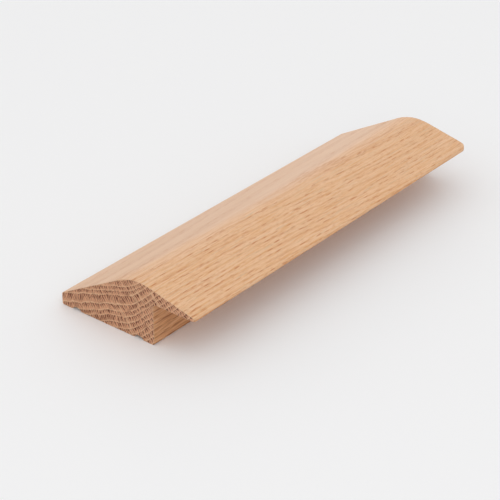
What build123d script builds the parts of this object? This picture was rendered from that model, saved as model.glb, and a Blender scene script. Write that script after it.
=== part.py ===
from build123d import *
from math import radians, tan
import os

# Wood threshold: one length of milled oak that bridges two floors of different height.
# A thin lip laps the edge of the higher floor, which runs into the rabbet under it.
# The top climbs from the lip to a rounded crown and falls away to a low blunt nose.
# Row frame, in millimetres: X along the strip, the lip at -Y, the nose at +Y, Z up.
# The origin is the middle of the strip, on the plane that its foot rests on.

# Overall sizes
LENGTH = 138.4
WIDTH = 50.8

# Foot and rabbet
LIP_OVERHANG = 15.0
RABBET_HEIGHT = 13.4
RABBET_FILLET = 1.3
HEEL_ROUND = 0.6

# Top, from the nose over the crown to the lip
NOSE_HEIGHT = 3.9
NOSE_SLOPE = 28.8
NOSE_ROUND = 0.9
TOE_ROUND = 0.7
CROWN_RADIUS = 17.0
LIP_SLOPE = 13.2
LIP_EDGE = 1.1
LIP_ROUND = 1.25
NEAR_LIP_CORNER = 1.0
FAR_LIP_CORNER = 2.8

# Relief grooves, run along the underside beside each edge of the foot
GROOVE_RADIUS = 2.2
GROOVE_DEPTH = 1.0
GROOVE_INSET = 5.8

# The most of a wall that a round on its corner may take up
ROUND_SHARE = 0.95

NOSE_Y = WIDTH / 2
LIP_Y = -WIDTH / 2
WALL_Y = LIP_Y + LIP_OVERHANG
LIP_TOP = RABBET_HEIGHT + LIP_EDGE


def crown_corner():
    """Where the two slopes of the top would meet if the crown were left sharp."""
    nose_rise = tan(radians(NOSE_SLOPE))
    lip_rise = tan(radians(LIP_SLOPE))
    y = (NOSE_HEIGHT - LIP_TOP + nose_rise * NOSE_Y + lip_rise * LIP_Y) / (nose_rise + lip_rise)
    return y, NOSE_HEIGHT + nose_rise * (NOSE_Y - y)


def round_on(radius, wall, turn):
    """The radius, kept small enough to leave some of the wall that it starts on."""
    return min(radius, ROUND_SHARE * wall / tan(radians(turn) / 2))


def sharp_outline():
    """Section of the strip before its corners are eased, with its corners by name."""
    corners = {
        "toe": (NOSE_Y, 0),
        "nose_top": (NOSE_Y, NOSE_HEIGHT),
        "crown": crown_corner(),
        "lip_top": (LIP_Y, LIP_TOP),
        "lip_under": (LIP_Y, RABBET_HEIGHT),
        "rabbet": (WALL_Y, RABBET_HEIGHT),
        "heel": (WALL_Y, 0),
    }
    return make_face(Polyline(*corners.values(), close=True)), corners


def eased(section, corners, name, radius):
    """The section with one named corner rounded, or filled where it is an inner one."""
    corner = section.vertices().sort_by_distance(corners[name])[0]
    return fillet(corner, radius)


def relief_grooves():
    """Round-nosed cuts that let the foot sit flat on an uneven floor."""
    below = GROOVE_DEPTH - GROOVE_RADIUS
    middles = (NOSE_Y - GROOVE_INSET, WALL_Y + GROOVE_INSET)
    return [Location((y, below)) * Circle(GROOVE_RADIUS) for y in middles]


def moulding_section():
    """The finished section: eased corners, a rounded crown and the relief grooves."""
    section, corners = sharp_outline()
    rounds = {
        "crown": CROWN_RADIUS,
        "nose_top": round_on(NOSE_ROUND, NOSE_HEIGHT / 2, 90 - NOSE_SLOPE),
        "toe": round_on(TOE_ROUND, NOSE_HEIGHT / 2, 90),
        "lip_top": round_on(LIP_ROUND, LIP_EDGE, 90 - LIP_SLOPE),
        "rabbet": round_on(RABBET_FILLET, RABBET_HEIGHT / 2, 90),
        "heel": round_on(HEEL_ROUND, RABBET_HEIGHT / 2, 90),
    }
    for name, radius in rounds.items():
        section = eased(section, corners, name, radius)
    return section - relief_grooves()


def plan_outline():
    """The strip seen from above, its two lip corners softened, the far one more."""
    plan = Rectangle(LENGTH, WIDTH)
    corners = {"near_lip": (-LENGTH / 2, LIP_Y), "far_lip": (LENGTH / 2, LIP_Y)}
    for name, radius in (("near_lip", NEAR_LIP_CORNER), ("far_lip", FAR_LIP_CORNER)):
        plan = eased(plan, corners, name, round_on(radius, LIP_OVERHANG / 2, 90))
    return plan


def threshold_strip():
    """The section run along X, then trimmed to the plan."""
    run = extrude(Plane.YZ * moulding_section(), LENGTH / 2, both=True)
    height = run.bounding_box().max.Z
    return run & extrude(plan_outline(), height)


os.makedirs("parts", exist_ok=True)
export_step(threshold_strip(), "parts/threshold_strip.step")
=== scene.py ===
# %% [markdown]
# # A wood threshold
# A threshold is a short moulding that bridges two floors of different height in a doorway.
# This one is a single piece of oak. A thin lip laps the higher floor, the top climbs to a
# rounded crown, and a long slope runs down to a low blunt nose.
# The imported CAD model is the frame. It is loaded first, and its box is kept, because the
# dressed model has to have the same size.

# %% Load the frame
from math import acos, ceil, cos, pi, radians, sin, tan

import bpy
import numpy as np
from mathutils import Matrix, Vector
from mathutils.geometry import delaunay_2d_cdt


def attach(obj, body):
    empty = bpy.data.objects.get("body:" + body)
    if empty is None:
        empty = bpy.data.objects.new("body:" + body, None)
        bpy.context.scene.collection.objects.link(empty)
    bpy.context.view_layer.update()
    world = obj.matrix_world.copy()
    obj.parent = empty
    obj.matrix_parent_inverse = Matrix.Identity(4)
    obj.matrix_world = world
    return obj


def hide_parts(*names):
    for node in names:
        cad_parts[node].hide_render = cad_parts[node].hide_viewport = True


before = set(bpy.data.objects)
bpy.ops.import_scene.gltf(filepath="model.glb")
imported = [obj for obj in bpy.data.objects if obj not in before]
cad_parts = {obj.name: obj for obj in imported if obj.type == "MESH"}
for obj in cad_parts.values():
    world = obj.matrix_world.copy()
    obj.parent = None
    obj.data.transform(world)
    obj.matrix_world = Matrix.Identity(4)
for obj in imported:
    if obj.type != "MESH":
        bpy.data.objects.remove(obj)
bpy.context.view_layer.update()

# %% [markdown]
# ## Sizes
# The sizes are those of the CAD model, in millimetres, because a moulding is drawn and
# milled in millimetres. They become metres only where a mesh is made. Across the strip the
# nose is at +Y and the lip at -Y; Z is up, and the foot stands on Z = 0.
# One size is new: the CAD model leaves the lip's lower arris sharp, and here it is eased, as
# it is by one pass of fine paper.

# %% Sizes of the moulding
MM = 0.001

LENGTH = 138.4
WIDTH = 50.8
NOSE_Y = WIDTH / 2
LIP_Y = -WIDTH / 2

LIP_OVERHANG = 15.0
RABBET_HEIGHT = 13.4
RABBET_FILLET = 1.3
HEEL_ROUND = 0.6

NOSE_HEIGHT = 3.9
NOSE_SLOPE = 28.8
NOSE_ROUND = 0.9
TOE_ROUND = 0.7
CROWN_RADIUS = 17.0
LIP_SLOPE = 13.2
LIP_EDGE = 1.1
LIP_ROUND = 1.25
NEAR_LIP_CORNER = 1.0
FAR_LIP_CORNER = 2.8
LIP_ARRIS = 0.1

GROOVE_RADIUS = 2.2
GROOVE_DEPTH = 1.0
GROOVE_INSET = 5.8

WALL_Y = LIP_Y + LIP_OVERHANG
LIP_TOP = RABBET_HEIGHT + LIP_EDGE
print("rabbet wall at y =", round(WALL_Y, 2), "mm")

# %% [markdown]
# ## The section
# A moulder cuts this section with one set of knives, so it is the same all along the strip.
# It could be traced with a curve, but a list of corners, each with its own round, is shorter
# and says what a knife grinder would want to know. The outline is walked anticlockwise.
# Points are close together on the faces that show, and wider apart underneath.

# %% Corners of the section
SEEN_STEP = 0.2
HIDDEN_STEP = 0.5

nose_rise = tan(radians(NOSE_SLOPE))
lip_rise = tan(radians(LIP_SLOPE))
crown_y = (NOSE_HEIGHT - LIP_TOP + nose_rise * NOSE_Y + lip_rise * LIP_Y) / (nose_rise + lip_rise)
crown_z = NOSE_HEIGHT + nose_rise * (NOSE_Y - crown_y)

# Each corner: its place, its round, and the step on its round and on the side that follows.
corners = [
    ((NOSE_Y, 0.0), TOE_ROUND, SEEN_STEP),
    ((NOSE_Y, NOSE_HEIGHT), NOSE_ROUND, SEEN_STEP),
    ((crown_y, crown_z), CROWN_RADIUS, SEEN_STEP),
    ((LIP_Y, LIP_TOP), LIP_ROUND, SEEN_STEP),
    ((LIP_Y, RABBET_HEIGHT), LIP_ARRIS, HIDDEN_STEP),
    ((WALL_Y, RABBET_HEIGHT), RABBET_FILLET, HIDDEN_STEP),
    ((WALL_Y, 0.0), HEEL_ROUND, HIDDEN_STEP),
]
print("crown corner:", round(crown_y, 2), round(crown_z, 2))

# %% Rounds and grooves
LEAST_SIDES = 8


def rounded(before, corner, after, radius, step):
    """Points along the round that touches both sides of a corner."""
    corner = Vector(corner)
    back = (Vector(before) - corner).normalized()
    on = (Vector(after) - corner).normalized()
    half = back.angle(on) / 2
    centre = corner + (back + on).normalized() * radius / sin(half)
    first = corner + back * radius / tan(half) - centre
    turn = (corner + on * radius / tan(half) - centre).angle_signed(first)
    sides = max(LEAST_SIDES, ceil(abs(turn) * radius / step))
    return [centre + Matrix.Rotation(turn * i / sides, 2) @ first for i in range(sides + 1)]


def groove(middle):
    """Points over one relief groove, from its lip side to its nose side."""
    centre = Vector((middle, GROOVE_DEPTH - GROOVE_RADIUS))
    half = acos(1 - GROOVE_DEPTH / GROOVE_RADIUS)
    sides = ceil(2 * half * GROOVE_RADIUS / HIDDEN_STEP)
    angles = [half * (2 * i / sides - 1) for i in range(sides + 1)]
    return [centre + GROOVE_RADIUS * Vector((sin(a), cos(a))) for a in angles]


def stepped(start, end, step):
    """Points from start to just before end, no further apart than the step."""
    sides = max(1, ceil((end - start).length / step))
    return [start.lerp(end, i / sides) for i in range(sides)]


print("points over one groove:", len(groove(0.0)))

# %% The closed outline
corner_points = [corner[0] for corner in corners]
outline = []
for number, (corner, radius, step) in enumerate(corners):
    after = corner_points[(number + 1) % len(corners)]
    outline.append((rounded(corner_points[number - 1], corner, after, radius, step), step))
for middle in (WALL_Y + GROOVE_INSET, NOSE_Y - GROOVE_INSET):
    outline.append((groove(middle), HIDDEN_STEP))

section_points = []
for (run, step), (next_run, _) in zip(outline, outline[1:] + outline[:1]):
    section_points += run[:-1] + stepped(run[-1], next_run[0], step)
print("points round the section:", len(section_points))

# %% [markdown]
# ## The end face
# The end of the strip is a saw cut across the rings, and it takes up much of the picture. A
# plain cap would be one many-sided face that can't carry any relief, and a grid doesn't fit
# the outline. So points are strewn evenly inside the outline, and a Delaunay triangulation
# joins them into even triangles. The section lies flat here, as on a drawing; the next steps
# stand it up.

# %% Strew points inside the outline
CELL = 0.26
EDGE_ROOM = 0.55
ROW_SPACING = CELL * sin(pi / 3)


def inside(places, ring):
    """Which places lie inside a closed ring of points."""
    x, y = places.T
    within = np.zeros(len(places), bool)
    for (ax, ay), (bx, by) in zip(ring, np.roll(ring, -1, axis=0)):
        if ay != by:
            crosses = (ay > y) != (by > y)
            within ^= crosses & (x < ax + (bx - ax) * (y - ay) / (by - ay))
    return within


def clear_of(places, ring, room):
    """Which places keep their distance from every point of the ring."""
    keep = np.ones(len(places), bool)
    for point in ring:
        keep &= np.hypot(*(places - point).T) > room
    return keep


# Every second row is moved half a cell along, so that the triangles come out even.
ring = np.array([tuple(p) for p in section_points])
edge_marks = np.concatenate([ring, (ring + np.roll(ring, -1, axis=0)) / 2])
rows = np.arange(CELL / 2, crown_z, ROW_SPACING)
places = np.array([
    (y + CELL / 2 * (number % 2), z)
    for number, z in enumerate(rows)
    for y in np.arange(LIP_Y, NOSE_Y, CELL)
])
places = places[inside(places, ring)]
places = places[clear_of(places, edge_marks, CELL * EDGE_ROOM)]
print("points inside:", len(places))

# %% Join them into the end face, and keep the outline as a curve
TRIANGLES_INSIDE = 1
SAME_POINT = CELL * 1e-4

fill_points = [Vector(p) for p in np.concatenate([ring, places])]
found = delaunay_2d_cdt(fill_points, [], [list(range(len(ring)))], TRIANGLES_INSIDE, SAME_POINT)
section_mesh = bpy.data.meshes.new("section")
section_mesh.from_pydata([(p.x * MM, p.y * MM, 0) for p in found[0]], [], found[2])

outline_curve = bpy.data.curves.new("section_outline", "CURVE")
outline_curve.dimensions = "3D"
spline = outline_curve.splines.new("POLY")
spline.points.add(len(section_points) - 1)
for point, place in zip(spline.points, section_points):
    point.co = (place.x * MM, place.y * MM, 0, 1)
spline.use_cyclic_u = True
outline_object = bpy.data.objects.new("section_outline", outline_curve)
bpy.context.scene.collection.objects.link(outline_object)
print("end face:", len(section_mesh.polygons), "triangles")

# %% [markdown]
# ## Writing sums as nodes
# The wood's pattern is worked out twice from the same sums: once in Geometry Nodes, where it
# presses the pores into the mesh, and once in the material, where it colours them. Node trees
# are hard to read as long lists of links, so a small class lets a sum be written as a sum.
# Both kinds of tree have the Math, Map Range, Noise and Voronoi nodes that it makes.

# %% A field is a number that varies over the wood
def feed(tree, socket, value):
    """Give a node's socket a plain value, or join it to what a field or socket gives."""
    value = value.socket if isinstance(value, Field) else value
    if isinstance(value, bpy.types.NodeSocket):
        tree.links.new(value, socket)
    else:
        socket.default_value = value


class Field:
    """A number at each point of the wood. Sums with it become Math nodes in its tree."""

    def __init__(self, tree, socket):
        self.tree = tree
        self.socket = socket

    def math(self, operation, *others):
        """One Math node, with this field as its first number."""
        node = self.tree.nodes.new("ShaderNodeMath")
        node.operation = operation
        for socket, value in zip(node.inputs, (self, *others)):
            feed(self.tree, socket, value)
        return Field(self.tree, node.outputs[0])

    def __add__(self, other):
        return self.math("ADD", other)

    def __sub__(self, other):
        return self.math("SUBTRACT", other)

    def __mul__(self, other):
        return self.math("MULTIPLY", other)

    def __truediv__(self, other):
        return self.math("DIVIDE", other)

    def __rsub__(self, other):
        return self * -1 + other

    __radd__ = __add__
    __rmul__ = __mul__

    def step(self, low, high):
        """0 below low and 1 above high, with a smooth climb between them."""
        node = self.tree.nodes.new("ShaderNodeMapRange")
        node.interpolation_type = "SMOOTHSTEP"
        for name, value in (("Value", self), ("From Min", low), ("From Max", high)):
            feed(self.tree, node.inputs[name], value)
        return Field(self.tree, node.outputs[0])


# %% Points and noise as nodes
def joined(x, y, z):
    """A field and two more fields or numbers as one vector socket."""
    node = x.tree.nodes.new("ShaderNodeCombineXYZ")
    for socket, value in zip(node.inputs, (x, y, z)):
        feed(x.tree, socket, value)
    return node.outputs[0]


def split(tree, vector):
    """The three fields in a vector socket."""
    node = tree.nodes.new("ShaderNodeSeparateXYZ")
    tree.links.new(vector, node.inputs[0])
    return [Field(tree, socket) for socket in node.outputs]


def texture(kind, place, sizes, seed):
    """A noise node, stretched to the given sizes along the place's three fields."""
    tree = place[0].tree
    node = tree.nodes.new(kind)
    node.inputs["Scale"].default_value = 1.0
    stretched = joined(*(p / size + seed for p, size in zip(place, sizes)))
    tree.links.new(stretched, node.inputs["Vector"])
    return node


def cloud(place, sizes, seed, detail=1.0):
    """Noise from about 0 to 1, with its middle at a half, in lumps of the given sizes."""
    node = texture("ShaderNodeTexNoise", place, sizes, seed)
    node.inputs["Detail"].default_value = detail
    return Field(place[0].tree, node.outputs[0])


def wander(place, sizes, seed, reach, detail=1.0):
    """Noise about zero: how far something strays from its even course."""
    return (cloud(place, sizes, seed, detail) - 0.5) * reach


def cells(place, sizes, seed):
    """Distance to the nearest of many strewn points, and a random number for that point."""
    node = texture("ShaderNodeTexVoronoi", place, sizes, seed)
    tree = place[0].tree
    return Field(tree, node.outputs["Distance"]), split(tree, node.outputs["Color"])[0]


# %% [markdown]
# ## How oak grows
# Every face of the strip shows the same tree. The rings are shells round a pith that lay
# above the nose, so on the end they are arcs, on the lip slope they come out as close rows,
# and on the nose slope, which is nearly level with a ring, they spread into faint bands.
# Each ring starts with a band of wide vessels. Cut across they are dark specks, and cut
# along they are short dashes. Rays run from ring to ring as thin pale lines.
# A picture wrapped on each face would break at every edge, so the pattern is a solid one:
# it depends only on where a point is in the wood. Ring lines, rays and specks follow the
# place in the tree, which drifts and sways along the strip. Vessels, fibre and flecks are
# short beside that drift, and simply run straight along the strip.

# %% Where the rings run
# The pith was this far beyond the nose and above the foot. The radius is that of the ring
# on which a distance along the ring is true.
PITH_TO_NOSE = 16.0
PITH_HEIGHT = 74.0
ARC_RADIUS = 76.0
# Each ring climbs towards the lip, ever steeper, with one dip on the way.
RING_TILT = 0.3
RING_BEND = 0.000123
DIP_DEPTH = 1.65
DIP_PLACE = 27.5
DIP_WIDTH = 6.0
# The rings drift towards the lip along the strip, most of all in the middle.
DRIFT = 0.061
DRIFT_SWING = 0.97
# No ring is quite even. Sways are broad and wavers narrow, and both last along the strip.
SWAY_SIZE, SWAY = (45, 11, 11), 0.7
WAVER_SIZE, WAVER = (50, 3.5, 6), 0.9
# The height of each ring line at the nose. Lines that are below the foot there reach the
# section nearer the lip.
RING_HEIGHTS = (
    -21.3, -19.2, -17.1, -15.0, -12.9, -10.9, -8.8, -6.6, -4.7, -2.6, -1.0,
    1.1, 4.1, 5.6, 7.1, 9.3, 11.4, 13.4, 15.6,
)


def ring_place(x, y, z):
    """Place in the tree it grew in: along its ring, and out through the rings."""
    drift = (x + LENGTH / 2) * DRIFT + (x * (2 * pi / LENGTH)).math("SINE") * DRIFT_SWING
    from_nose = NOSE_Y - y - drift
    sway = wander((x, y, z), SWAY_SIZE, seed=3.1, reach=SWAY)
    waver = wander((x, y, z), WAVER_SIZE, seed=6.6, reach=WAVER)
    off_dip = (from_nose - DIP_PLACE) / DIP_WIDTH
    dip = (off_dip * off_dip * -1).math("EXPONENT") * DIP_DEPTH
    height = z + sway + waver + dip - from_nose * (from_nose * from_nose * RING_BEND + RING_TILT)
    arc = (from_nose + PITH_TO_NOSE).math("ARCTAN2", PITH_HEIGHT - z) * ARC_RADIUS
    return arc, height


print("rings in the section:", len(RING_HEIGHTS) - 1)

# %% How old each ring is at a point
RAGGED_SIZE, RAGGED = (0.9, 0.7, 9), 0.35


def ring_count(height):
    """How many rings lie above a height. It counts up by one from each ring line to the next."""
    low, high, rings = RING_HEIGHTS[0], RING_HEIGHTS[-1], len(RING_HEIGHTS) - 1
    node = height.tree.nodes.new("ShaderNodeFloatCurve")
    points = node.mapping.curves[0].points
    for line, ring_height in enumerate(RING_HEIGHTS[1:-1], start=1):
        points.new((ring_height - low) / (high - low), line / rings)
    for point in points:
        point.handle_type = "VECTOR"
    node.mapping.update()
    feed(height.tree, node.inputs["Value"], (height - low) / (high - low))
    return rings - Field(height.tree, node.outputs[0]) * rings


def ring_age(place):
    """How far a point is through its ring, from 0 at one ring line to 1 at the next."""
    ragged = wander(place, RAGGED_SIZE, seed=1.9, reach=RAGGED, detail=2.0)
    return (ring_count(place[1]) + ragged).math("FRACT")


print("rings are ragged by up to", RAGGED / 2, "of their width")

# %% Vessels cut along
# A pair of numbers for a step says where it is 0 and where it is 1. The sizes here are
# across the strip, up through it and along it.
EARLY_STARTS, EARLY_ENDS = (0.02, 0.12), (0.55, 0.25)
VESSEL_SIZE, VESSEL_WALL = (0.4, 0.4, 4.2), (0.42, 0.24)
EMPTY_CELLS = (0.1, 0.3)
ROW_SIZE, ROW_EDGE = (0.8, 0.8, 4.1), (0.34, 0.6)
ROW_STRENGTH, ROW_FADE = 0.85, 0.4


def vessels(straight, age):
    """Early wood, the single vessels in it, and the rows they form, weaker at the far end."""
    early = age.step(*EARLY_STARTS) * age.step(*EARLY_ENDS)
    distance, luck = cells(straight, VESSEL_SIZE, seed=4.3)
    vessel = distance.step(*VESSEL_WALL) * early * luck.step(*EMPTY_CELLS)
    strength = ROW_STRENGTH - straight[2] / LENGTH * ROW_FADE
    row = early * cloud(straight, ROW_SIZE, seed=3.7).step(*ROW_EDGE) * strength
    return early, vessel, row


print("vessels are", VESSEL_SIZE[0], "mm wide and", VESSEL_SIZE[2], "mm long")

# %% Vessels cut across
# The sizes here are along the ring, out through the rings and along the strip.
FILE_PITCH, FILE_EDGE = 0.8, (-0.2, 0.4)
UNEVEN_SIZE, UNEVEN = (1.5, 2.5, 8), 2.4
STRENGTH_SIZE, STRENGTH_CHANGE = (0.9, 3, 8), 1.8
FILES_START, FILES_FADE = (0.04, 0.1), (0.95, 0.4)
LASTING_SIZE, LASTING = (0.5, 3, 8), 0.9
LATE_FILES = 0.2


def end_specks(place, age):
    """Vessels cut across, in uneven files that point to the pith and fade in late wood."""
    uneven = wander(place, UNEVEN_SIZE, seed=4.9, reach=UNEVEN, detail=2.0)
    files = ((place[0] / FILE_PITCH + uneven) * (2 * pi)).math("SINE")
    strength = cloud(place, STRENGTH_SIZE, seed=2.7)
    specks = (files + (strength - 0.5) * STRENGTH_CHANGE).step(*FILE_EDGE)
    lasting = wander(place, LASTING_SIZE, seed=7.1, reach=LASTING)
    fading = (age + lasting).step(*FILES_FADE) * (1 - LATE_FILES) + LATE_FILES
    return specks * (age.step(*FILES_START) * fading) * (strength + 0.5)


print("files of specks are", FILE_PITCH, "mm apart")

# %% The whole pattern
LINE_EDGE = (0.38, 0.45)
FAINT_SIZE, FAINT_EDGE = (2.2, 1.2, 20), (0.3, 0.55)
RAY_SIZE, RAY_EDGE = (2.6, 26, 15), (0.018, 0.006)
PATCH_SIZE, PATCH_EDGE = (4, 2.2, 30), (0.56, 0.66)
TONE_SIZE = (5, 2.4, 40)
FIBRE_SIZE = (0.22, 0.3, 9)
FLECK_SIZE, FLECK_EDGE = (0.3, 0.3, 1.6), (0.54, 0.72)


def oak_pattern(tree, position):
    """Everything that fills the rings at a point, each from about 0 to 1."""
    x, y, z = (p / MM for p in split(tree, position))
    place = (*ring_place(x, y, z), x)
    straight = (y, z, x)
    age = ring_age(place)
    early, vessel, row = vessels(straight, age)
    # Ring lines are faint in places. A ray is where its noise passes through its middle.
    faint = cloud(place, FAINT_SIZE, seed=2.2).step(*FAINT_EDGE)
    off_ray = (cloud(place, RAY_SIZE, seed=6.2) - 0.5).math("ABSOLUTE")
    return {
        "early": early,
        "vessel": vessel,
        "row": row,
        "specks": end_specks(place, age),
        "line": (age - 0.5).math("ABSOLUTE").step(*LINE_EDGE) * faint,
        "ray": off_ray.step(*RAY_EDGE),
        "patch": cloud(place, PATCH_SIZE, seed=1.4).step(*PATCH_EDGE),
        "tone": cloud(place, TONE_SIZE, seed=8.8, detail=2.0),
        "fibre": cloud(straight, FIBRE_SIZE, seed=5.4, detail=2.0),
        "fleck": cloud(straight, FLECK_SIZE, seed=2.9).step(*FLECK_EDGE),
    }


print("rays run about", RAY_SIZE[1], "mm out through the rings")

# %% [markdown]
# ## The strip
# The whole piece follows one rule, so Geometry Nodes make it. The section's edge is swept
# along a line, as the wood ran past the knives, and two copies of the filled section close
# the ends. The lip's corners are then rounded in plan, the pores are pressed in, and the
# arrises that the saw left are worn a little. Everything goes inwards, so that the strip
# stays inside the CAD model's box.

# %% Helpers for the geometry tree
def new_node(tree, kind, links=(), **settings):
    """Make a node, set its properties, and feed its inputs by name or number."""
    node = tree.nodes.new(kind)
    for name, value in settings.items():
        setattr(node, name, value)
    for socket, value in links:
        feed(tree, node.inputs[socket], value)
    return node


def tree_input(tree, name, kind, value=None):
    """Add a named input to a tree, with its starting value, and return its identifier."""
    socket = tree.interface.new_socket(name, in_out="INPUT", socket_type=kind)
    if value is not None:
        socket.default_value = value
    return socket.identifier


# %% Inputs of the strip's tree
strip_tree = bpy.data.node_groups.new("milled_strip", "GeometryNodeTree")
strip_tree.interface.new_socket("Strip", in_out="OUTPUT", socket_type="NodeSocketGeometry")
strip_sizes = {
    "Length": LENGTH * MM,
    "Near lip corner": NEAR_LIP_CORNER * MM,
    "Far lip corner": FAR_LIP_CORNER * MM,
    "Pore depth": 0.06 * MM,
    "End pore depth": 0.09 * MM,
    "Saw mark depth": 0.03 * MM,
    "Arris wear": 0.06 * MM,
}
tree_input(strip_tree, "Section", "NodeSocketGeometry")
identifiers = {name: tree_input(strip_tree, name, "NodeSocketFloat", 0.0) for name in strip_sizes}
identifiers["Outline"] = tree_input(strip_tree, "Outline", "NodeSocketObject")
identifiers["Rows"] = tree_input(strip_tree, "Rows", "NodeSocketInt", 2)
identifiers["Wood"] = tree_input(strip_tree, "Wood", "NodeSocketMaterial")
inputs = strip_tree.nodes.new("NodeGroupInput")
print("inputs:", list(identifiers))

# %% Sweep the section
CROWDING = 0.6


def size(name):
    """One of the tree's named sizes, as a field."""
    return Field(strip_tree, inputs.outputs[name])


def swept_skin():
    """The milled faces: the section's edge run along the strip, closer spaced near the ends."""
    edge = new_node(strip_tree, "GeometryNodeObjectInfo", [("Object", inputs.outputs["Outline"])])
    half = size("Length") / 2
    line = new_node(
        strip_tree, "GeometryNodeCurvePrimitiveLine",
        [("Start", joined(half * -1, 0.0, 0.0)), ("End", joined(half, 0.0, 0.0))],
    )
    rows = new_node(
        strip_tree, "GeometryNodeResampleCurve",
        [("Curve", line.outputs[0]), ("Count", inputs.outputs["Rows"])],
    )
    x = split(strip_tree, new_node(strip_tree, "GeometryNodeInputPosition").outputs[0])[0]
    spread = (x / half * pi).math("SINE") * half * (CROWDING / pi)
    moved = new_node(
        strip_tree, "GeometryNodeSetPosition",
        [("Geometry", rows.outputs[0]), ("Offset", joined(spread, 0.0, 0.0))],
    )
    upright = new_node(
        strip_tree, "GeometryNodeSetCurveNormal", [("Curve", moved.outputs[0])], mode="Z_UP"
    )
    # Half a turn brings the nose to +Y and the crown to the top.
    turned = new_node(
        strip_tree, "GeometryNodeSetCurveTilt", [("Curve", upright.outputs[0]), ("Tilt", pi)]
    )
    return new_node(
        strip_tree, "GeometryNodeCurveToMesh",
        [("Curve", turned.outputs[0]), ("Profile Curve", edge.outputs["Geometry"])],
    ).outputs[0]


# %% Close the ends
WELD = 1e-6


def marked(mesh, name, domain, value):
    """The mesh with a named number stored on its points or faces."""
    return new_node(
        strip_tree, "GeometryNodeStoreNamedAttribute",
        [("Geometry", mesh), ("Name", name), ("Value", value)],
        data_type="FLOAT", domain=domain,
    ).outputs[0]


def end_face(side):
    """The filled section, stood upright at one end and marked as sawn."""
    stood = new_node(
        strip_tree, "GeometryNodeTransform",
        [
            ("Geometry", inputs.outputs["Section"]),
            ("Rotation", (pi / 2, 0, pi / 2)),
            ("Translation", joined(size("Length") * (0.5 * side), 0.0, 0.0)),
        ],
    ).outputs[0]
    if side < 0:
        stood = new_node(strip_tree, "GeometryNodeFlipFaces", [("Mesh", stood)]).outputs[0]
    return marked(stood, "sawn", "FACE", 1.0)


together = new_node(strip_tree, "GeometryNodeJoinGeometry")
for part in (swept_skin(), end_face(-1), end_face(1)):
    strip_tree.links.new(part, together.inputs[0])
welded = new_node(
    strip_tree, "GeometryNodeMergeByDistance",
    [("Geometry", together.outputs[0]), ("Distance", WELD)],
)
print("nodes so far:", len(strip_tree.nodes))

# %% Round the lip's corners
def shifted(mesh, offset):
    """The mesh with each point moved by a vector."""
    return new_node(
        strip_tree, "GeometryNodeSetPosition", [("Geometry", mesh), ("Offset", offset)]
    ).outputs[0]


position = new_node(strip_tree, "GeometryNodeInputPosition").outputs[0]
x, y, z = split(strip_tree, position)

# At the end of the strip a point near a corner moves in onto the corner's round. The points
# behind it follow, each by its share of the way from the middle.
share = x / (size("Length") / 2)
is_far = share.math("GREATER_THAN", 0.0)
radius = size("Near lip corner") * (1 - is_far) + size("Far lip corner") * is_far
to_flat = (radius - (y - LIP_Y * MM)).math("MAXIMUM", 0.0).math("MINIMUM", radius)
inset = radius - (radius * radius - to_flat * to_flat).math("MAXIMUM", 0.0).math("SQRT")
cornered = shifted(welded.outputs[0], joined(inset * share * -1, 0.0, 0.0))
print("corners:", NEAR_LIP_CORNER, "mm near and", FAR_LIP_CORNER, "mm far")

# %% [markdown]
# ## Marks on the strip
# Finish and relief depend on what was done to a face, and its place alone doesn't tell that.
# So the tree leaves three numbers on the mesh, which the material reads too. "end_grain"
# says that a face looks along the strip. The second says that a point is on the nose slope,
# whose grain is quieter, and it also places a paler, pinker coat of painted sheen there; it
# starts about the crown in the middle of the strip, and further down at the ends. "arris" says
# where the saw left an edge that has since worn, and the material paints it paler there.

# %% Mark the end grain and the calm slope
FACING_END, FACING_UP = (0.55, 0.9), (0.3, 0.7)
CALM_START, CALM_START_BEND = -6.0, 6.0
CALM_FULL, CALM_FULL_BEND = 1.6, 9.0

normal = new_node(strip_tree, "GeometryNodeInputNormal").outputs[0]
facing_x, _, facing_z = split(strip_tree, normal)
sawn_across = facing_x.math("ABSOLUTE").step(*FACING_END)
end_marked = marked(cornered, "end_grain", "FACE", sawn_across)

bend = share * share
past_crown = (y / MM).step(bend * CALM_START_BEND + CALM_START, bend * CALM_FULL_BEND + CALM_FULL)
# This mark places the nose slope's painted sheen as well as its quieter grain.
calm_marked = marked(end_marked, "calm_and_sheen", "POINT", past_crown * facing_z.step(*FACING_UP))
print("the calm starts at y =", CALM_START, "mm in the middle of the strip")

# %% Press in the pores and the saw marks
CALM_PORE_LOSS = 0.8
END_PORE_SHARE = 0.5
SAW_MARK_SIZE = (200, 3.0, 0.7)


def mark(name):
    """A stored number, as a field."""
    node = new_node(
        strip_tree, "GeometryNodeInputNamedAttribute", [("Name", name)], data_type="FLOAT"
    )
    return Field(strip_tree, node.outputs[0])


def scaled(vector, amount):
    """A vector socket, made longer or shorter by a field."""
    return new_node(
        strip_tree, "ShaderNodeVectorMath", [(0, vector), ("Scale", amount)], operation="SCALE"
    ).outputs[0]


in_mm = (x / MM, y / MM, z / MM)
end_share = mark("end_grain")
pattern = oak_pattern(strip_tree, position)
side_pores = pattern["vessel"] * (1 - end_share) * (1 - mark("calm_and_sheen") * CALM_PORE_LOSS)
end_pores = (pattern["vessel"] + pattern["specks"]) * END_PORE_SHARE * end_share
saw_marks = cloud(in_mm, SAW_MARK_SIZE, seed=9.3) * end_share
depth = (
    side_pores * size("Pore depth")
    + end_pores * size("End pore depth")
    + saw_marks * size("Saw mark depth")
)
relieved = shifted(calm_marked, scaled(normal, depth * -1))
print("pores pressed in up to", round(strip_sizes["End pore depth"] / MM, 2), "mm")

# %% Wear the arrises
SOME_OF_EACH = 0.15
WEAR_SIZE, WEAR_EDGE = (1.5, 1.5, 1.5), (0.3, 0.7)
LEAST_WEAR = 0.35

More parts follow.
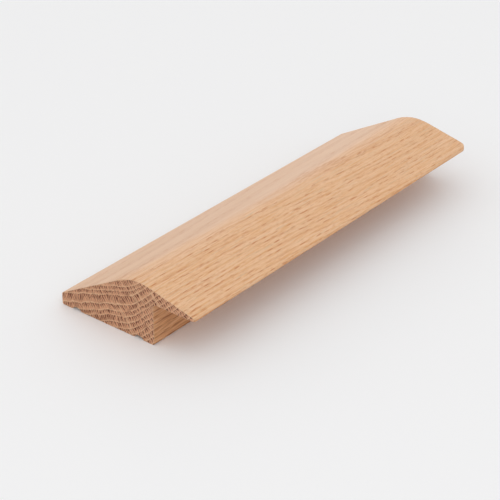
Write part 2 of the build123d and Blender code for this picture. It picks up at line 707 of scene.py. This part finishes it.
# A point on an arris has sawn faces on one side and milled ones on the other.
sawn_share = mark("sawn")
on_arris = sawn_share.step(0.0, SOME_OF_EACH) * sawn_share.step(1.0, 1 - SOME_OF_EACH)
patches = cloud(in_mm, WEAR_SIZE, seed=0.6, detail=2.0).step(*WEAR_EDGE)
wear = on_arris * (patches + LEAST_WEAR)
worn = shifted(relieved, scaled(normal, wear * size("Arris wear") * -1))
arris_marked = marked(worn, "arris", "POINT", wear)
print("arrises worn in patches of about", WEAR_SIZE[0], "mm")

# %% Finish the tree
SHARP_ANGLE = 38.0

smooth = new_node(
    strip_tree, "GeometryNodeSetShadeSmooth", [("Geometry", arris_marked)], domain="FACE"
)
angle = Field(strip_tree, new_node(strip_tree, "GeometryNodeInputMeshEdgeAngle").outputs[0])
sharp = new_node(
    strip_tree, "GeometryNodeSetShadeSmooth",
    [
        ("Geometry", smooth.outputs[0]),
        ("Selection", angle.math("GREATER_THAN", radians(SHARP_ANGLE))),
        ("Shade Smooth", False),
    ],
    domain="EDGE",
)
whole = new_node(strip_tree, "GeometryNodeRealizeInstances", [("Geometry", sharp.outputs[0])])
wooden = new_node(
    strip_tree, "GeometryNodeSetMaterial",
    [("Geometry", whole.outputs[0]), ("Material", inputs.outputs["Wood"])],
)
outputs = new_node(strip_tree, "NodeGroupOutput")
strip_tree.links.new(wooden.outputs[0], outputs.inputs[0])
print("nodes in the tree:", len(strip_tree.nodes))

# %% Run it, and keep the result as a plain mesh
ROWS = 130

oak = bpy.data.materials.new("oak")
maker = bpy.data.objects.new("strip_maker", section_mesh)
bpy.context.scene.collection.objects.link(maker)
modifier = maker.modifiers.new("milled_strip", "NODES")
modifier.node_group = strip_tree
for name, value in strip_sizes.items():
    modifier[identifiers[name]] = value
modifier[identifiers["Outline"]] = outline_object
modifier[identifiers["Rows"]] = ROWS
modifier[identifiers["Wood"]] = oak

evaluated = maker.evaluated_get(bpy.context.evaluated_depsgraph_get())
strip_mesh = bpy.data.meshes.new_from_object(evaluated)
strip_mesh.name = "oak_threshold"
strip = bpy.data.objects.new("oak_threshold", strip_mesh)
bpy.context.scene.collection.objects.link(strip)
bpy.data.objects.remove(maker)
bpy.data.objects.remove(outline_object)
strip_mesh.calc_loop_triangles()
print("strip:", len(strip_mesh.vertices), "points,", len(strip_mesh.loop_triangles), "triangles")

# %% Check that the strip is closed and faces outwards
FACES_AT_AN_EDGE = 2

edge_faces = np.zeros(len(strip_mesh.edges), int)
face_edges = np.zeros(len(strip_mesh.loops), int)
strip_mesh.loops.foreach_get("edge_index", face_edges)
np.add.at(edge_faces, face_edges, 1)
open_edges = int((edge_faces != FACES_AT_AN_EDGE).sum())

# The volume is positive only where the faces point outwards.
volume = 0.0
for triangle in strip_mesh.loop_triangles:
    a, b, c = (strip_mesh.vertices[i].co for i in triangle.vertices)
    volume += a.dot(b.cross(c)) / 6
print("open edges:", open_edges, " volume:", round(volume / MM**3), "cubic mm")

# %% [markdown]
# ## The oak finish
# The wood is bare and sanded. On the milled faces it is a pale tan, with orange-brown dashes
# where the vessels are cut along. The nose slope is calmer. It gets a paler, pinker coat that
# is partly its quieter grain and partly painted sheen. The rabbet under the lip gets a darker,
# warmer coat of painted shade, with coarser streaks of grain. The sawn end is darker still,
# because light goes into the open vessels and doesn't come back, and there the ring lines
# stand out pale.
# The finish could be painted as a picture, but it would blur close up and break at every
# edge. Instead one material is laid on in coats, as a finisher would: a base colour, then
# each part of the pattern in its own colour. The marks on the mesh say which coats a face
# gets. All faces share one pattern, so the rings meet round every arris.

# %% Colours of the oak
def paint(red, green, blue):
    """A colour as a paint chip shows it, from 0 to 255, in the linear values of a shader."""
    # The numbers in the sum are those of the sRGB standard.
    shown = np.array([red, green, blue]) / 255
    return (*np.where(shown <= 0.04045, shown / 12.92, ((shown + 0.055) / 1.055) ** 2.4), 1)


SIDE_PALE = paint(238, 193, 152)
SIDE_WARM = paint(224, 169, 116)
SIDE_GREY = paint(216, 179, 140)
SIDE_DASH = paint(194, 120, 72)
# A paler, pinker coat for the nose slope: partly its quieter grain, partly painted sheen.
SIDE_CALM_SHEEN = paint(222, 187, 162)
# The rabbet's two colours are painted shade: the recess under the lip, darker and warmer.
RABBET_SHADE = paint(222, 154, 98)
RABBET_SHADED_DASH = paint(166, 100, 58)
END_PALE = paint(238, 193, 153)
END_WOOD = paint(228, 169, 131)
END_DARK = paint(113, 59, 36)
# Worn arrises are paler: partly worn fibre, partly a painted highlight along the edge.
ARRIS_WEAR_HIGHLIGHT = paint(214, 178, 142)
print("palest wood, linear:", [round(float(part), 3) for part in SIDE_PALE])

# %% Mix colours, and lay them on in coats
def mixed(amount, first, second):
    """A colour part of the way from the first to the second."""
    tree = amount.tree
    node = tree.nodes.new("ShaderNodeMix")
    node.data_type = "RGBA"
    colour_inputs = [socket for socket in node.inputs if socket.type == "RGBA"]
    feed(tree, node.inputs[0], amount)
    feed(tree, colour_inputs[0], first)
    feed(tree, colour_inputs[1], second)
    return next(socket for socket in node.outputs if socket.type == "RGBA")


def coated(base, coats):
    """The base colour under its coats. A coat is where it goes, its strength and its colour."""
    for where, strength, colour in coats:
        base = mixed(where * strength, base, colour)
    return base


# %% Where the coats go
# The rabbet's coats of painted shade reach a little past its wall and its ceiling, and then fade
# out.
RABBET_COAT_Y = WALL_Y + 0.2
RABBET_COAT_Z = RABBET_HEIGHT + 0.1
RABBET_COAT_FADE = 0.2
LIP_SLOPE_ENDS = (-7.0, -3.0)
# Vessels show less on the calm slope, and a little less towards the far end.
VESSELS_SHOW, VESSELS_FADE = 0.9, 0.3
CALM_VESSEL_LOSS = 0.5
CALM_FIBRE_LOSS = 0.25
CALM_THREAD_LOSS = 0.85

oak.use_nodes = True
wood_tree = oak.node_tree
object_place = new_node(wood_tree, "ShaderNodeTexCoord").outputs["Object"]


def stored(name):
    """A mark that the geometry tree left on the mesh, as a field of the material."""
    node = new_node(wood_tree, "ShaderNodeAttribute", attribute_name=name)
    return Field(wood_tree, node.outputs["Fac"])


is_end, arris, calm_and_sheen = stored("end_grain"), stored("arris"), stored("calm_and_sheen")
x, y, z = (p / MM for p in split(wood_tree, object_place))
# Where the rabbet's painted shade goes.
behind_wall = y.step(RABBET_COAT_Y + RABBET_COAT_FADE, RABBET_COAT_Y)
in_shaded_rabbet = behind_wall * z.step(RABBET_COAT_Z + RABBET_COAT_FADE, RABBET_COAT_Z)
beyond_lip = y.step(*LIP_SLOPE_ENDS)
plain = (1 - calm_and_sheen * CALM_VESSEL_LOSS) * (VESSELS_SHOW - x / LENGTH * VESSELS_FADE)
fibrous = 1 - calm_and_sheen * CALM_FIBRE_LOSS
threaded = beyond_lip * (1 - calm_and_sheen * CALM_THREAD_LOSS)
print("rabbet coats up to y =", round(RABBET_COAT_Y, 2), "and z =", round(RABBET_COAT_Z, 2), "mm")

# %% Coats on the milled faces
# Streaks are broad, threads are fine, and the rabbet's coarse grain is short. Their sizes
# are across the strip, up and along. A noise can have one colour on either side of its
# middle.
STREAK_SIZE, STREAK_WARM, STREAK_PALE = (1.8, 1.8, 38), (0.48, 0.6), (0.5, 0.38)
THREAD_SIZE, THREAD_DARK = (0.55, 0.55, 9), (0.5, 0.66)
COARSE_SIZE, COARSE_DARK, COARSE_PALE = (0.5, 0.5, 5), (0.5, 0.64), (0.48, 0.36)
FIBRE_WARM, FIBRE_GREY = (0.5, 0.66), (0.46, 0.3)
TONE_WARM, TONE_SHARE, ROW_SHARE = (0.3, 0.7), 0.3, 0.6
SPECK_SHARE, RABBET_SPECKS = 0.25, 0.4

pattern = oak_pattern(wood_tree, object_place)
fibre = pattern["fibre"]
streak = cloud((y, z, x), STREAK_SIZE, seed=7.7, detail=4.0)
thread = cloud((y, z, x), THREAD_SIZE, seed=5.9, detail=2.0)
coarse = cloud((y, z, x), COARSE_SIZE, seed=8.1, detail=3.0)
warm = pattern["tone"].step(*TONE_WARM) * TONE_SHARE + pattern["row"] * plain * ROW_SHARE
specks = pattern["specks"] * pattern["early"] * plain
# In the rabbet the dashes take a darker colour of painted shade.
dash = mixed(in_shaded_rabbet, SIDE_DASH, RABBET_SHADED_DASH)

side = coated(SIDE_PALE, [
    (warm, 1.0, SIDE_WARM),
    (fibre.step(*FIBRE_GREY) * fibrous, 0.9, SIDE_GREY),
    (fibre.step(*FIBRE_WARM) * fibrous, 1.0, SIDE_WARM),
    (pattern["fleck"] * plain, 0.35, SIDE_DASH),
    # Painted sheen on the nose slope, over its quieter grain.
    (calm_and_sheen, 0.4, SIDE_CALM_SHEEN),
    (beyond_lip * streak.step(*STREAK_WARM), 0.26, SIDE_WARM),
    (beyond_lip * streak.step(*STREAK_PALE), 0.32, SIDE_PALE),
    (threaded * thread.step(*THREAD_DARK), 0.35, SIDE_DASH),
    # Painted shade in the rabbet, darker and warmer, with coarse streaks of grain and darker
    # specks over it.
    (in_shaded_rabbet, 0.6, RABBET_SHADE),
    (in_shaded_rabbet * coarse.step(*COARSE_DARK), 0.4, RABBET_SHADED_DASH),
    (in_shaded_rabbet * coarse.step(*COARSE_PALE), 0.5, SIDE_PALE),
    (specks, in_shaded_rabbet * RABBET_SPECKS + SPECK_SHARE, dash),
    (pattern["vessel"] * plain, 0.9, dash),
])
print("nodes after the milled faces:", len(wood_tree.nodes))

# %% Coats on the sawn ends, and the two together
PATCH_SHARE, END_TONE_SHARE = 0.3, 0.1
END_TONE_DARK = (0.3, 0.75)

end_tone = pattern["tone"].step(*END_TONE_DARK)
darker = pattern["patch"] * PATCH_SHARE + end_tone * END_TONE_SHARE
end = coated(END_WOOD, [
    (darker, 1.0, END_DARK),
    (pattern["specks"], 0.9, END_DARK),
    (pattern["vessel"], 0.8, END_DARK),
    (pattern["line"], 0.75, END_PALE),
    (pattern["ray"], 0.6, END_PALE),
])
# The worn arrises get a pale coat, partly worn fibre and partly painted highlight.
colour = coated(side, [(is_end, 1.0, end), (arris, 0.5, ARRIS_WEAR_HIGHLIGHT)])
print("nodes in the material:", len(wood_tree.nodes))

# %% Sheen and fine relief
SANDED, SAWN_ROUGHER, PORES_ROUGHER = 0.5, 0.25, 0.15
FIBRE_RIDGE = 0.35
END_PITS = 0.8
BUMP_DEPTH = 0.05 * MM
BUMP_STRENGTH = 0.7

shader = wood_tree.nodes["Principled BSDF"]
roughness = is_end * SAWN_ROUGHER + pattern["vessel"] * PORES_ROUGHER + SANDED
pits = pattern["vessel"] * plain
height = fibre * FIBRE_RIDGE - pits - pattern["specks"] * is_end * END_PITS
bump = new_node(
    wood_tree, "ShaderNodeBump",
    [("Height", height), ("Distance", BUMP_DEPTH), ("Strength", BUMP_STRENGTH)],
)
feed(wood_tree, shader.inputs["Base Color"], colour)
feed(wood_tree, shader.inputs["Roughness"], roughness)
feed(wood_tree, shader.inputs["Normal"], bump.outputs[0])
print("roughness from", SANDED, "to", SANDED + SAWN_ROUGHER + PORES_ROUGHER)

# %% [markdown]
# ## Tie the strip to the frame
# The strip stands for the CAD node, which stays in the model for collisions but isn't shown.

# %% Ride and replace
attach(strip, "root")
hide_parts("threshold_strip")
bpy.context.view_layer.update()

# %% [markdown]
# ## Camera
# The picture was taken with a long lens from beyond the near end, above the lip's side. The
# camera's place and direction come from fitting the section's corners to the picture.

# %% Set up the camera
CAMERA_PLACE = (-340.291, -262.385, 239.110)
CAMERA_AIM = (0.67901, 0.54519, -0.49165)
LENS = 113.18
SENSOR_WIDTH = 36
NEAREST_SEEN = 0.01

camera_data = bpy.data.cameras.new("camera")
camera_data.lens = LENS
camera_data.sensor_width = SENSOR_WIDTH
camera_data.clip_start = NEAREST_SEEN
camera = bpy.data.objects.new("camera", camera_data)
camera.location = Vector(CAMERA_PLACE) * MM
camera.rotation_euler = Vector(CAMERA_AIM).to_track_quat("-Z", "Y").to_euler()
bpy.context.scene.collection.objects.link(camera)
bpy.context.scene.camera = camera
print("camera at", [round(c, 3) for c in camera.location])

# %% [markdown]
# ## Floor and light
# The floor is plain and nearly white to the camera, and greyer to the light that it throws
# back, so that the lip's underside stays in shade. A white world lights the strip from all
# round. Three large soft lamps, one above, one beyond the near end and one behind, set its
# faces apart. Together they light a level surface about as brightly as its colour is
# written, so the wood looks right under other light too.

# %% Floor
FLOOR_SIZE = 6.0
FLOOR_ROUGHNESS = 0.9
FLOOR_SEEN = (0.96, 0.96, 0.965, 1)
FLOOR_BOUNCE = (0.5, 0.5, 0.5, 1)

reach = FLOOR_SIZE / 2
floor_corners = [(-reach, -reach, 0), (reach, -reach, 0), (reach, reach, 0), (-reach, reach, 0)]
floor_mesh = bpy.data.meshes.new("floor")
floor_mesh.from_pydata(floor_corners, [], [(0, 1, 2, 3)])
floor = bpy.data.objects.new("floor", floor_mesh)
bpy.context.scene.collection.objects.link(floor)
floor_paint = bpy.data.materials.new("floor_paint")
floor_paint.use_nodes = True
floor_tree = floor_paint.node_tree
floor_shader = floor_tree.nodes["Principled BSDF"]
floor_shader.inputs["Roughness"].default_value = FLOOR_ROUGHNESS
ray_kinds = new_node(floor_tree, "ShaderNodeLightPath").outputs
seen = Field(floor_tree, ray_kinds["Is Camera Ray"])
for kind in ("Is Glossy Ray", "Is Transmission Ray"):
    seen = seen.math("MAXIMUM", Field(floor_tree, ray_kinds[kind]))
feed(floor_tree, floor_shader.inputs["Base Color"], mixed(seen, FLOOR_BOUNCE, FLOOR_SEEN))
floor_mesh.materials.append(floor_paint)
print("floor:", FLOOR_SIZE, "m square")

# %% Lamps and world
WORLD_LIGHT = 0.82


def soft_lamp(name, place, side, watts):
    """A square lamp, aimed at the strip."""
    data = bpy.data.lights.new(name, "AREA")
    data.size = side
    data.energy = watts
    lamp = bpy.data.objects.new(name, data)
    lamp.location = place
    lamp.rotation_euler = (-Vector(place)).to_track_quat("-Z", "Y").to_euler()
    bpy.context.scene.collection.objects.link(lamp)


soft_lamp("top_lamp", (-0.1, -0.6, 1.1), side=0.9, watts=1.1)
soft_lamp("side_lamp", (-0.95, -0.8, 0.45), side=0.7, watts=1.5)
soft_lamp("far_lamp", (1.1, 1.2, 0.3), side=0.6, watts=1.3)

world = bpy.data.worlds.new("studio")
bpy.context.scene.world = world
world.use_nodes = True
backdrop = world.node_tree.nodes["Background"]
backdrop.inputs["Color"].default_value = (1, 1, 1, 1)
backdrop.inputs["Strength"].default_value = WORLD_LIGHT
bpy.context.scene.view_settings.view_transform = "Standard"
print("lamps:", len(bpy.data.lights))
